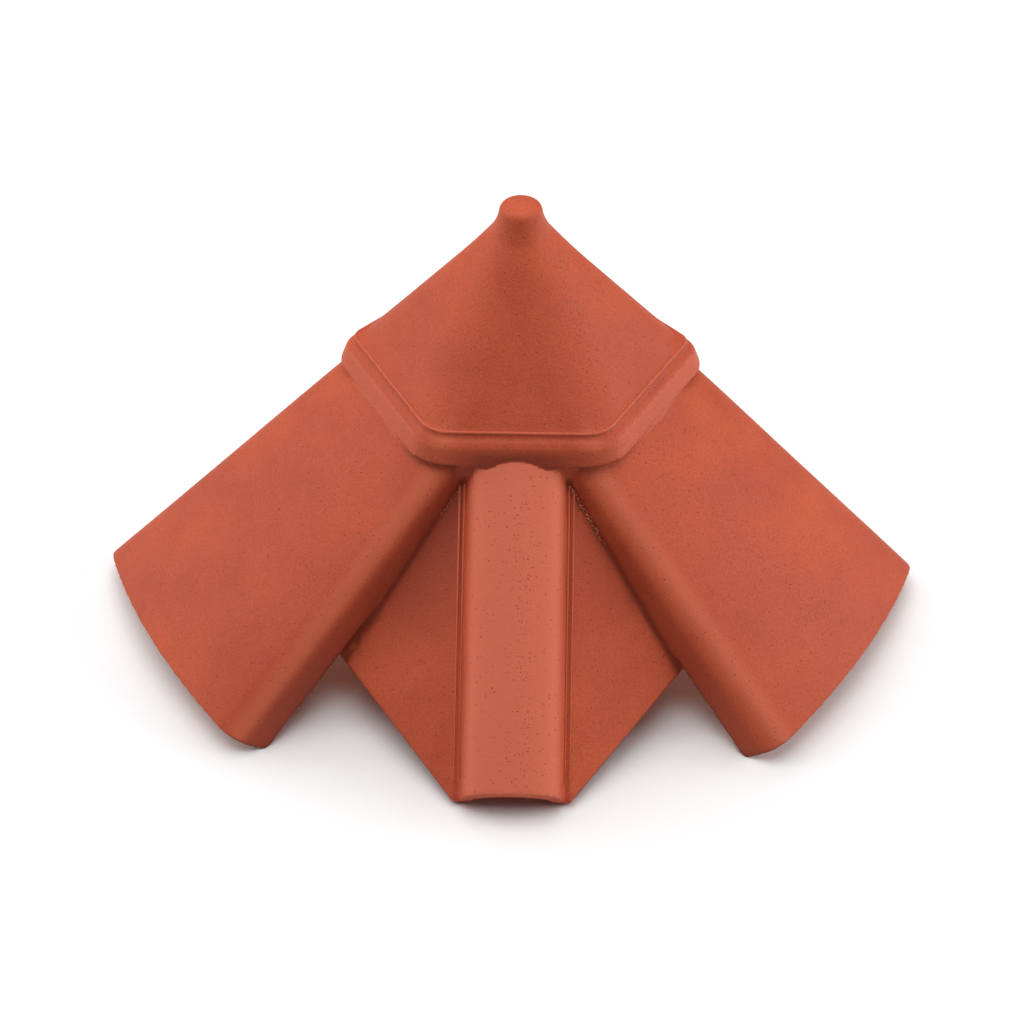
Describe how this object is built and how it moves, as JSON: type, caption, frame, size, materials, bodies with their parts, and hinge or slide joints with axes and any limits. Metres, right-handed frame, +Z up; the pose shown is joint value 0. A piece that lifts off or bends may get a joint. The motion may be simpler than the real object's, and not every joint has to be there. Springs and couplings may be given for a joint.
{
  "type": "clay apex tile",
  "caption": "Fired-clay apex tile that caps the meeting of two hips and a ridge, with a pyramid cap, a knob and a rolled flap between its arms.",
  "frame": {"origin": "centre of the tile's plan box, on the plane that its arms and flap stand on", "axes": "+X to the right hip arm seen from the front, +Y towards the ridge, +Z up"},
  "size_m": [0.6282, 0.398, 0.322],
  "materials": {
    "fired_clay": "matte engobed clay"
  },
  "bodies": {
    "root": {"apex_tile": "fired_clay"}
  },
  "joints": []
}
